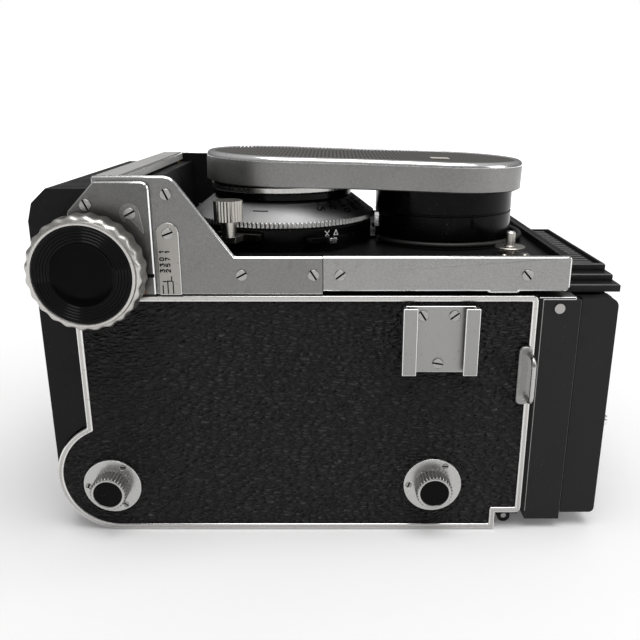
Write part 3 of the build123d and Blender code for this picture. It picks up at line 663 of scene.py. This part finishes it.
def strip_screw():
    """Slotted screw at the top of the distance strip."""
    low, high = extent("distance_scale")
    half = (high.x - low.x) / 2
    bm = bmesh.new()
    add_screw(bm, low.x + half, high.z - half, 1.5, -1, -high.y, -low.y + 0.3, radians(20))
    place_piece("strip_screw", bm, [SCREW, INK], "standard_screws", extra=True)


def standard_pieces():
    for side, sign in (("left", -1), ("right", 1)):
        rounded("side_plate_" + side, 0.4, DULL_PLATE, (PLATE_EDGE, CASTING), segments=1, clamp=False,
                paint_face=inner_black(sign), joint_x=extent("side_plate_left")[1].x)
        rounded("upper_plate_" + side, 0.4, PLATE, (PLATE_EDGE, CASTING), segments=1, clamp=False,
                paint_face=inner_black(sign), joint_x=extent("upper_plate_left")[0].x, corner=1.0)
    rounded("cross_bar", 0.5, BAR_PLATE, PLATE_EDGE)
    rounded("top_wall", 0.35, CASTING, CASTING_EDGE)
    rounded("lens_board", 0.3, CASTING, CASTING_EDGE)
    screws("standard_screws")
    strip_screw()
    rounded("distance_scale", 0.15, STRIP, PLATE_EDGE)
    rounded("rack_bars", 0.05, BRASS, BRASS)
    rounded("aperture_scale", 0.12, DIAL, CHROME_EDGE)
    dressed("wire_bail", WIRE)
    dressed("focus_shaft", SCREW)


# ---- knobs ----
def focus_knob(node):
    """Rim of broad shallow lobes, a smooth front ring, and a grooved black face dished in the middle."""
    x, z, r, side, back, face = round_fit(*extent(node))
    hub_r, rim_width = 9.5, 7.3
    rim_back = face - rim_width
    profile = [(0, back + 0.1), (hub_r - 0.3, back + 0.1), (hub_r, back + 0.4), (hub_r, rim_back),
               (r - 1.2, rim_back), (r - 0.4, rim_back + 0.3, 0.5), (r, rim_back + 0.9, 1),
               (r, face - 2.3, 1), (r - 0.2, face - 1.7, 1), (r - 0.6, face - 1.2, 0.8),
               (r - 1.1, face - 0.95, 0.4), (r - 1.35, face - 0.9), (r - 1.4, face - 0.4),
               (r - 1.55, face - 0.1), (r - 1.9, face), (r - 2.25, face - 0.1), (r - 2.4, face - 0.45)]
    black_from = len(profile) - 1
    groove, groove_step, groove_end = r - 2.9, 0.78, r - 6.6
    while groove > groove_end:
        profile += [(groove, face - 0.45), (groove - 0.2, face - 0.28), (groove - 0.42, face - 0.28),
                    (groove - 0.62, face - 0.45)]
        groove -= groove_step
    dish_from = len(profile)
    profile += [(8.1, face - 0.36), (7.8, face - 0.5), (7.2, face - 0.75), (5.0, face - 0.93),
                (0, face - 1.0)]
    turned(node, about_y(x, z, side), profile, [KNURL, KNOB_GROOVES, KNOB_BLACK], count=384,
           bands=[(black_from, 1), (dish_from, 2)], knurl=(24, 0.42))


def pull_knob(node):
    """Straight-knurled pull knob with a black recessed end."""
    x, z, r, side, inner, face = round_fit(*extent(node))
    profile = [(0, inner), (2.3, inner), (2.6, inner + 0.3), (2.6, face - 4.7), (r - 0.3, face - 4.7, 1),
               (r, face - 4.3, 1), (r, face - 0.6, 1), (r - 0.35, face - 0.15, 0.3), (r - 0.7, face),
               (r - 1.1, face - 0.1), (r - 1.2, face - 0.4), (r - 2.4, face - 0.46), (0, face - 0.4)]
    turned(node, about_y(x, z, side), profile, [TURNED, GLOSS], count=320, bands=[(10, 1)],
           knurl=(32, 0.6))


def wind_knob():
    """Straight-knurled rim with a black disc on a raised ring."""
    x, z, r, side, inner, face = round_fit(*extent("wind_knob"))
    rim_in, rim_out = 42.7, 51.5
    profile = [(0, inner), (2.3, inner), (2.6, inner + 0.3), (2.6, rim_in), (r - 0.6, rim_in, 0.4),
               (r, rim_in + 0.6, 1), (r, rim_out - 0.6, 1), (r - 0.5, rim_out - 0.1, 0.3),
               (9.4, rim_out), (9.0, rim_out + 0.2), (9.0, face - 0.4), (8.6, face), (7.4, face),
               (7.2, face - 0.3), (0, face - 0.45)]
    turned("wind_knob", about_y(x, z, side), profile, [TURNED, KNOB_BLACK], count=480,
           bands=[(13, 1)], knurl=(48, 0.6))


# ---- taking lens and viewing lens: bare heights are Z, from the back of the body ----
TAKING = middle("shutter_housing")
VIEWING = middle("viewing_barrel")


def shutter_pieces():
    """Black housing, speed dial and front ring round the taking lens."""
    place = about_z(TAKING.x)
    low, high = extent("shutter_housing")
    r = (high.x - low.x) / 2
    profile = [(11.0, 74.6), (12.0, 74.6), (12.0, 80.35), (r - 0.4, 80.35), (r, 80.8), (r, 86.4),
               (r - 0.5, 86.9), (15.0, 86.9), (15.0, 93.75), (11.5, 93.75), (11.5, 80.8), (11.0, 80.8)]
    turned("shutter_housing", place, profile, [GLOSS, GLOSS_EDGE], ring=True, count=128,
           bands=[(3, 1), (4, 0), (5, 1), (6, 0)])
    profile = [(15.1, 93.85), (20.8, 93.85), (21.1, 94.1), (21.1, 95.7), (21.6, 96.0), (21.9, 96.3),
               (21.9, 97.6), (21.5, 97.9), (21.3, 98.1), (21.3, 100.1), (20.9, 100.5), (19.5, 100.5),
               (18.6, 99.4), (15.1, 97.4), (14.6, 96.8), (11.6, 96.8), (11.6, 93.85)]
    turned("front_ring", place, profile, [GLOSS, CHROME], ring=True, count=128,
           bands=[(4, 1), (11, 0)])
    profile = [(15.1, 87.15), (27.7, 87.15), (28.3, 87.4, 1), (28.3, 88.6, 1), (28.0, 88.85), (27.7, 89.0),
               (22.2, 93.15), (21.6, 93.5), (21.2, 93.6), (15.1, 93.6)]
    turned("speed_ring", place, profile, [DIAL, DIAL_RIM], ring=True, count=840,
           bands=[(1, 1), (4, 0)], knurl=(140, 0.4))


def dial_marks():
    """Numbers round the dial cone, each with its tick, and a short index line. On the cone, u runs
    round the lens and v down from its inner rim."""
    inner_r, inner_z, middle_r = 21.9, 93.45, 24.5
    scale = middle_r * pi / 180      # millimetres to a degree, half-way down the cone
    size = 1.3
    strokes = [[((253 + 2 * i) * scale, 3.0) for i in range(6)]]
    for i, text in enumerate(("2", "5", "10", "25", "50", "100", "200", "400", "800")):
        at = (300 + 10.5 * i) * scale
        strokes.append([(at, 0.2), (at, 1.3)])
        strokes += number(text, at + 0.8 * size, 1.9, size)

    def cone(u, v, h):
        a, r = radians(u / scale), inner_r + v * 0.8 + h * 0.6
        return Vector((TAKING.x + r * cos(a), r * sin(a), inner_z - v * 0.62 + h * 0.8))

    marks("speed_marks", strokes, cone, 0.36, INK, "speed_ring")


def lens_elements():
    """Two domed front elements and the two rear ones."""
    taking, viewing = about_z(TAKING.x), about_z(VIEWING.x)
    chamfer, steps = 0.3, 12
    bm = bmesh.new()
    for place, r, z0, z1, crown in ((taking, 11.4, 93.95, 96.6, 1.6), (viewing, 16.9, 92.05, 95.5, 2.0),
                                    (taking, 10.9, 75.05, 77.0, 0.5), (viewing, 16.9, 78.25, 80.2, 0.5)):
        dome = (r * r + crown * crown) / (2 * crown)
        profile = [(0, z0), (r - chamfer, z0), (r, z0 + chamfer)]
        for i in range(steps + 1):
            at = r * (1 - i / steps)
            profile.append((at, z1 - dome + sqrt(dome * dome - at * at)))
        add_turned(bm, place, profile)
    weld(bm)
    place_piece("lens_elements", bm, [LENS], "lens_glass")


def viewing_barrel():
    """Smooth black tube with one fine rubbed groove."""
    low, high = extent("viewing_barrel")
    r, inner_r, top = (high.x - low.x) / 2, 17.05, high.z
    profile = [(inner_r, 80.35), (r, 80.35), (r, 89.1), (r - 0.15, 89.25), (r - 0.3, 89.35),
               (r - 0.3, 89.55), (r - 0.1, 89.7), (r, 89.85), (r, top - 0.4), (r - 0.4, top),
               (17.5, top), (inner_r, top - 0.4)]
    turned("viewing_barrel", about_z(VIEWING.x), profile, [GLOSS, GLOSS_EDGE], ring=True, count=128,
           bands=[(5, 1), (6, 0)])


def levers():
    """Finger levers: the band that hugs the housing is black and the finger is plated."""
    band_r, band_top = 29.7, 86

    def band_or_finger(centre, normal, index):
        return 2 if hypot(centre.x - TAKING.x, centre.y) < band_r and centre.z < band_top else index

    for node, width in (("cocking_lever", 0.2), ("release_lever", 0.2), ("sync_lever", 0.15)):
        rounded(node, width, DIAL, (CHROME_EDGE, GLOSS), paint_face=band_or_finger)
    rounded("aperture_lever", 0.12, NICKEL, (KNURL, GLOSS), paint_face=band_or_finger)


# ---- lens board ----
BOARD_TOP = extent("lens_board")[1].z


def lock_pin():
    """Nickelled pin with a bright tip, standing on its flange."""
    low, high = extent("lock_pin")
    centre, r, pin_r = (low + high) / 2, (high.x - low.x) / 2, 1.3
    flange = low.z + 1.5
    profile = [(0, low.z), (pin_r, low.z), (pin_r, flange), (r - 0.2, flange), (r, flange + 0.2),
               (r, flange + 0.7), (r - 0.2, flange + 0.9), (1.7, flange + 0.9), (pin_r, flange + 1.2),
               (pin_r, high.z - 0.35), (1.0, high.z), (0, high.z)]
    turned("lock_pin", about_z(centre.x, centre.y), profile, [NICKEL, STEEL_EDGE], count=64,
           bands=[(9, 1)])


def lock_plate():
    """Plate under the lock pin with its two round-headed screws."""
    pin = middle("lock_pin")
    screw_y, head_r = pin.y - 4.9, 0.8
    head = [(0, BOARD_TOP + 0.7), (head_r, BOARD_TOP + 0.7), (head_r, BOARD_TOP + 1.1),
            (0.5, BOARD_TOP + 1.35), (0, BOARD_TOP + 1.4)]
    bm = bmesh.new()
    add_block(bm, (pin.x + 0.4, pin.y - 3.2, BOARD_TOP + 0.35), (4.6, 2.9, 0.35), chamfer=0.15)
    for dx in (-2.6, 3.0):
        add_turned(bm, about_z(pin.x + dx, screw_y), head, 24)
    weld(bm)
    place_piece("lock_plate", bm, [NICKEL], "lock_pin", extra=True, body="front_standard")


def board_stop():
    """Stop between the two lenses: a plated head on a black post that stands on the board."""
    x, y = (TAKING.x + VIEWING.x) / 2 + 4.2, -4.0
    bm = bmesh.new()
    add_block(bm, (x, y, BOARD_TOP + 6.1), (0.75, 1.3, 2.3), chamfer=0.25)
    add_block(bm, (x, y, BOARD_TOP + 1.9), (0.5, 0.9, 1.95), material=1)
    add_block(bm, (x - 0.6, y, BOARD_TOP + 0.4), (1.7, 1.2, 0.4), material=1, chamfer=0.15)
    place_piece("board_stop", bm, [STEEL_EDGE, GLOSS], "cross_bar", extra=True)


# ---- lens cap ----
CAP_WAIST_DROP = 1.7       # the waist is this much narrower than the lobes
CAP_TILT = radians(1.83)
CAP_H = 8.5
CAP_ROUND = 1.5            # radius of its top edge
ARC_SHARE = 0.82           # share of the outline's points that lies on the lobes


def lobe_end(r, half):
    """Angle on a lobe where the straight line to the waist begins."""
    waist = r - CAP_WAIST_DROP
    return pi - (atan2(waist, half) + acos(r / hypot(half, waist)))


def cap_place():
    """Places in the tilted cap: place(r, a, h) with the lobe radius and an angle round the outline,
    and top(x, y, h). Also the lobe radius of its wall and half the distance between the lobes."""
    low, high = extent("lens_cap")
    lobe = (high.y - low.y) / 2
    half = (VIEWING.x - TAKING.x) / 2
    centre_x = (TAKING.x + VIEWING.x) / 2
    base_z = low.z + (half + lobe) * sin(CAP_TILT)

    def outline(r, a):
        waist, end = r - CAP_WAIST_DROP, lobe_end(r, half)
        share = min(a % pi, pi - a % pi) / (pi / 2)
        angle = end * min(share / ARC_SHARE, 1.0)
        x, y = half + r * cos(angle), r * sin(angle)
        if share > ARC_SHARE:
            part = (share - ARC_SHARE) / (1 - ARC_SHARE)
            x, y = x * (1 - part), y + (waist - y) * part
        return x * (1 if cos(a) >= -1e-9 else -1), y * (1 if sin(a) >= 0 else -1)

    def top(x, y, h):
        return Vector((centre_x + x * cos(CAP_TILT) + h * sin(CAP_TILT), y,
                       base_z - x * sin(CAP_TILT) + h * cos(CAP_TILT)))

    def place(r, a, h):
        return top(*outline(r, a), h)

    return place, top, lobe, half


def lens_cap():
    """Satin wall with a rounded polished top edge, and the ribbed insert inside it."""
    place, top, lobe, half = cap_place()
    profile = [(lobe - 1.3, CAP_H - 2.4), (lobe - 1.3, 0.25), (lobe - 1.1, 0.0), (lobe - 0.25, 0.0),
               (lobe, 0.3)]
    wall_from = len(profile) - 1
    for a in (radians(18 * i) for i in range(6)):
        profile.append((lobe - CAP_ROUND * (1 - cos(a)), CAP_H - CAP_ROUND * (1 - sin(a))))
    profile += [(lobe - 2.2, CAP_H - 0.02), (lobe - 2.45, CAP_H - 0.2), (lobe - 2.6, CAP_H - 0.75)]
    turned("lens_cap", place, profile, [CAP_WALL, CAP_EDGE], name="lens_cap_shell", count=240,
           bands=[(3, 1), (wall_from, 0), (wall_from + 1, 1)])
    cap_ribs(top, lobe - 2.7, half)


def cap_ribs(top, r, half):
    """Ribbed insert: rounded ribs that run across the cap, and a blank label on them."""
    pitch, steps, under = 1.15, 6, CAP_H - 0.72
    waist, end = r - CAP_WAIST_DROP, lobe_end(r, half)
    end_x, end_y = half + r * cos(end), r * sin(end)

    def half_width(x):
        if abs(x) < end_x:
            return waist + (end_y - waist) * abs(x) / end_x
        return sqrt(max(r * r - (abs(x) - half) ** 2, 0.04))

    rows = []
    total = int((half + r) * 2 / pitch) * steps
    for i in range(total + 1):
        x = (half + r) * (2 * i / total - 1)
        height = CAP_H - 0.62 + 0.5 * abs(sin(pi * i / steps)) ** 0.8
        w = half_width(x)
        rows.append([top(x, y, h) for y, h in ((-w, under), (-w, height), (w, height), (w, under))])
    bm = bmesh.new()
    add_shell(bm, rows)
    place_piece("cap_ribs", bm, [RIBBED], "cap_insert")
    corners = ((19.4, -9.5), (24.9, -9.5), (24.9, -5.0), (19.4, -5.0))
    bm = bmesh.new()
    add_shell(bm, [[top(x, y, h) for x, y in corners] for h in (CAP_H - 0.2, CAP_H - 0.02)])
    place_piece("cap_blank_label", bm, [LABEL], "cap_insert", extra=True)


# ---- bellows ----
def bellows():
    """Folded bag between the body and the lens board, and the folded wall between the two lenses."""
    low, high = extent("bellows")
    folds, thick = 8, 0.35
    bm = bmesh.new()
    for x0, x1, half_y, depth, corner in ((low.x, high.x, high.y, 3.3, 1.6), (12.6, 16.6, 32.8, 0.9, 0.5)):
        outer = [(0.0 if i % 2 else depth, low.z + (high.z - low.z) * i / (2 * folds))
                 for i in range(2 * folds + 1)]
        inner = [(inset + thick, z) for inset, z in outer]
        rows = []
        for inset, z in outer + inner[::-1]:
            cut = corner * (0.6 if inset < depth else 1.0)
            ax, bx, ay, by = x0 + inset, x1 - inset, inset - half_y, half_y - inset
            points = ((ax + cut, ay), (bx - cut, ay), (bx, ay + cut), (bx, by - cut),
                      (bx - cut, by), (ax + cut, by), (ax, by - cut), (ax, ay + cut))
            rows.append([Vector((x, y, z)) for x, y in points])
        add_shell(bm, rows, ring=True)
    piece = new_object("bellows_folds", from_bmesh(bm, "bellows_folds", [BELLOWS_CLOTH]))
    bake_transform(piece)
    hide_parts("bellows")


# ---- hood ----
def nameplate():
    """Stepped plate with a framed recess; plain raised bars stand where a name would be."""
    low, high = extent("nameplate")
    x, top = (low.x + high.x) / 2, high.z
    steps = [(7.75, 36.0, low.z), (7.75, 36.0, 73.1), (7.45, 35.7, 73.4), (6.95, 31.8, 73.4),
             (6.95, 31.8, 75.0), (6.65, 31.5, 75.3), (6.15, 27.65, 75.3), (6.15, 27.65, top - 0.3),
             (5.85, 27.35, top), (5.1, 26.6, top), (4.9, 26.4, top - 0.9)]
    bars, half_row = 17, 24.0
    bm = bmesh.new()
    add_shell(bm, [rectangle(x, 0.0, z, half_x, half_y) for half_x, half_y, z in steps],
              bands=[(1, 1), (2, 0), (4, 1), (5, 0), (7, 1), (8, 0)])
    for i in range(bars):
        y = half_row * (2 * i / (bars - 1) - 1)
        add_block(bm, (x, y, top - 0.65), (3.4, 0.62, 0.45), material=1, chamfer=0.2)
    place_piece("nameplate_frame", bm, [ENAMEL, WORN_EDGE], "nameplate")


def lid_pins():
    """Small round-headed pins near both sides of the lid's outer face."""
    face, side_y, z = extent("hood_lid")[1].x, 38.5, 34.0
    pin = [(0, face - 0.6), (1.5, face - 0.6), (1.5, face + 0.7), (1.3, face + 1.0), (0.8, face + 1.2),
           (0, face + 1.3)]
    bm = bmesh.new()
    for y in (-side_y, side_y):
        add_turned(bm, about_x(y, z), pin, 32)
    weld(bm)
    place_piece("lid_pins", bm, [STEEL_EDGE], "lid_button", extra=True, body=BODY_OF["hood_lid"])


def hood_pieces():
    lid_pins()
    rounded("hood_lid", 0.4, ENAMEL, ENAMEL_EDGE)
    rounded("lid_button", 0.4, SCREW, STEEL_EDGE)
    for node in ("side_flap_left", "side_flap_right", "rear_flap"):
        rounded(node, 0.15, ENAMEL, ENAMEL_EDGE)
    frame_r, glass_r = 15.0, 11.3
    centre_z = extent("magnifier")[1].z - 0.8 - frame_r

    def glass_or_frame(centre, normal, index):
        return 2 if hypot(centre.y, centre.z - centre_z) < glass_r and abs(normal.x) > 0.9 else index

    rounded("magnifier", 0.15, ENAMEL, (ENAMEL_EDGE, LOUPE), paint_face=glass_or_frame)


# ---- back and spools ----
def back_pieces():
    inside = middle("body_frame")

    def leather_or_paint(centre, normal, index):
        """Faces of the door that look into the camera are painted."""
        return 2 if abs(normal.y) < 0.5 and normal.dot(inside - centre) > 0 else index

    rounded("film_door", 0.3, DOOR_LEATHER, (ENAMEL_EDGE, CASTING), paint_face=leather_or_paint)
    rounded("pressure_plate", 0.3, CASTING, CASTING_EDGE)
    rounded("door_latch", 0.3, STEEL, STEEL_EDGE)
    for node in ("supply_spool", "take_up_spool"):
        rounded(node, 0.25, SPOOL, SPOOL)


# ---- engraved details ----
def knob_window(plate):
    """Raised window round the upper screw of the knob plate, with a lip that follows the knob."""
    knob = middle("focus_knob_left")
    outline = arc_points(-51.5, 94.0, 2.5, range(232, -1, -8))
    corner = len(outline) - 1
    outline += arc_points(knob.x, knob.z, 16.3, range(32, 53, 4))
    bm = bmesh.new()
    add_shell(bm, [[plate(u, v, h) for u, v in outline] for h in (-0.05, 0.06)])
    place_piece("knob_window", bm, [DULL_PLATE], "knob_plate_left", extra=True)
    marks("knob_window_edge", [outline[:corner], outline[corner:]], plate, 0.22, STRIP,
          "knob_plate_left", lift=0.12)


def engraved_details():
    """Ticks, generic numbers and index marks on the plates and the lens."""
    low, high = extent("distance_scale")
    x = low.x
    strokes = []
    for column, digits in ((1.6, "3301"), (3.1, "2571")):
        for digit, z in zip(digits, (78.45, 80.0, 81.6, 83.5)):
            strokes += number(digit, x + column, z, 0.66)
    strokes += [[(x + 0.9, 72.6), (x + 0.9, 74.8)], [(x + 1.0, 75.9), (x + 1.8, 75.9)],
                [(x + 2.2, 72.6), (x + 2.2, 75.8)], [(x + 2.1, 76.0), (x + 3.3, 76.0)],
                [(x + 3.3, 76.0), (x + 3.3, 77.2)], [(x + 3.6, 72.6), (x + 3.6, 75.9)]]
    marks("distance_marks", strokes, left_surface(-low.y), 0.3, INK, "distance_scale")
    low, high = extent("knob_plate_left")
    plate = left_surface(-low.y)
    marks("focus_index", [[(high.x - 1.75, 77.6), (high.x - 0.35, 77.6)]], plate, 0.95, INK,
          "knob_plate_left", lift=0.06)
    knob_window(plate)
    scale_top, tick_r = extent("aperture_scale")[1].z, 28.4
    ticks = []
    for i in range(7):
        a = radians(181 + 6 * i)
        end_r = tick_r + (2.6 if i % 2 else 1.6)
        ticks.append([(TAKING.x + r * cos(a), r * sin(a)) for r in (tick_r, end_r)])
    marks("aperture_marks", ticks, lambda u, v, h: Vector((u, v, scale_top + h)), 0.24, INK,
          "aperture_scale")
    low, high = extent("shutter_housing")
    housing_r, marks_at = (high.x - low.x) / 2, radians(300)

    def housing_side(u, v, h):
        a, r = marks_at + u / housing_r, housing_r + h
        return Vector((TAKING.x + r * cos(a), r * sin(a), v))

    cross = [[(-0.6, 84.4), (0.8, 86.0)], [(-0.6, 86.0), (0.8, 84.4)]]
    triangle = [(2.4, 84.6), (3.1, 86.0), (3.8, 84.6), (2.4, 84.6)]
    marks("sync_marks", [*cross, triangle], housing_side, 0.26, WHITE_INK, "shutter_housing")


# ---- scene ----
AMBIENT_LOW, AMBIENT_HIGH = 0.15, 0.55      # light from the horizon and from straight above
TILT_DOWN = 17.4                            # degrees the view looks down


def floor():
    """Plain pale floor with a painted glow: weak near the object and stronger far from it, so it turns to
    white far away.
    """
    look = Look("pale_floor", Specular_IOR_Level=0.1, Emission_Color=(1, 1, 1, 1))
    look.colour(look.mix(look.noise(60.0), (0.88, 0.88, 0.88), (0.90, 0.90, 0.90)))
    look.rough(look.curve(look.noise(40.0), 0.3, 0.7, 0.75, 0.9))
    # painted glow: emission rises from 0.1 near the object to 0.9 far from it
    distance = look.add("VectorMath", operation="LENGTH")
    look.link(look.place, distance.inputs[0])
    look.link(look.curve(distance.outputs["Value"], 0.12, 0.9, 0.1, 0.9),
              look.shader.inputs["Emission Strength"])
    reach, drop = 4.0, -2e-4
    mesh = bpy.data.meshes.new("floor")
    mesh.from_pydata(rectangle(0.0, 0.0, drop, reach, reach), [], [(0, 1, 2, 3)])
    mesh.materials.append(look.material)
    piece = new_object("floor", mesh)


def surround():
    """White where it is seen; as a light it is brightest overhead and dim near the horizon."""
    world = bpy.data.worlds.new("studio")
    world.use_nodes = True
    tree = world.node_tree
    background = tree.nodes["Background"]
    background.inputs["Color"].default_value = (1.0, 1.0, 1.0, 1.0)
    kinds = ("TexCoord", "SeparateXYZ", "MapRange", "LightPath", "Mix")
    coords, split, ramp, path, pick = [tree.nodes.new("ShaderNode" + kind) for kind in kinds]
    tree.links.new(coords.outputs["Generated"], split.inputs[0])
    tree.links.new(split.outputs["Z"], ramp.inputs["Value"])
    for socket, value in zip(ramp.inputs[1:5], (0.0, 0.9, AMBIENT_LOW, AMBIENT_HIGH)):
        socket.default_value = value
    tree.links.new(path.outputs["Is Camera Ray"], pick.inputs[0])
    tree.links.new(ramp.outputs["Result"], pick.inputs[2])
    pick.inputs[3].default_value = 1.0
    tree.links.new(pick.outputs[0], background.inputs["Strength"])
    bpy.context.scene.world = world


def lamp(name, place, target, size, power):
    data = bpy.data.lights.new(name, "AREA")
    data.shape = "SQUARE"
    data.size = size
    data.energy = power
    light = new_object(name, data)
    light.location = place
    light.rotation_euler = (Vector(target) - Vector(place)).to_track_quat("-Z", "Y").to_euler()


def studio():
    floor()
    surround()
    lamp("light_above", (0.1, -0.25, 1.1), (0.0, 0.0, 0.0), 0.85, 8.0)
    lamp("light_right", (1.0, -0.22, 0.45), (0.0, 0.0, 0.05), 0.5, 1.8)


def camera():
    data = bpy.data.cameras.new("camera")
    data.lens = 40.3
    data.sensor_width = 36.0
    data.shift_x = -0.017
    data.clip_start = 0.01
    view = new_object("camera", data)
    view.location = (0.0, -0.2263, 0.1228)
    view.rotation_euler = (radians(90 - TILT_DOWN), 0.0, 0.0)
    bpy.context.scene.camera = view
    bpy.context.scene.view_settings.view_transform = "Standard"


camera()
body_pieces()
standard_pieces()
for knob_node in ("focus_knob_left", "focus_knob_right"):
    focus_knob(knob_node)
for knob_node in ("pull_knob_lower", "pull_knob_upper"):
    pull_knob(knob_node)
wind_knob()
shutter_pieces()
dial_marks()
lens_elements()
viewing_barrel()
levers()
lens_cap()
lock_pin()
lock_plate()
board_stop()
bellows()
nameplate()
hood_pieces()
back_pieces()
engraved_details()
studio()
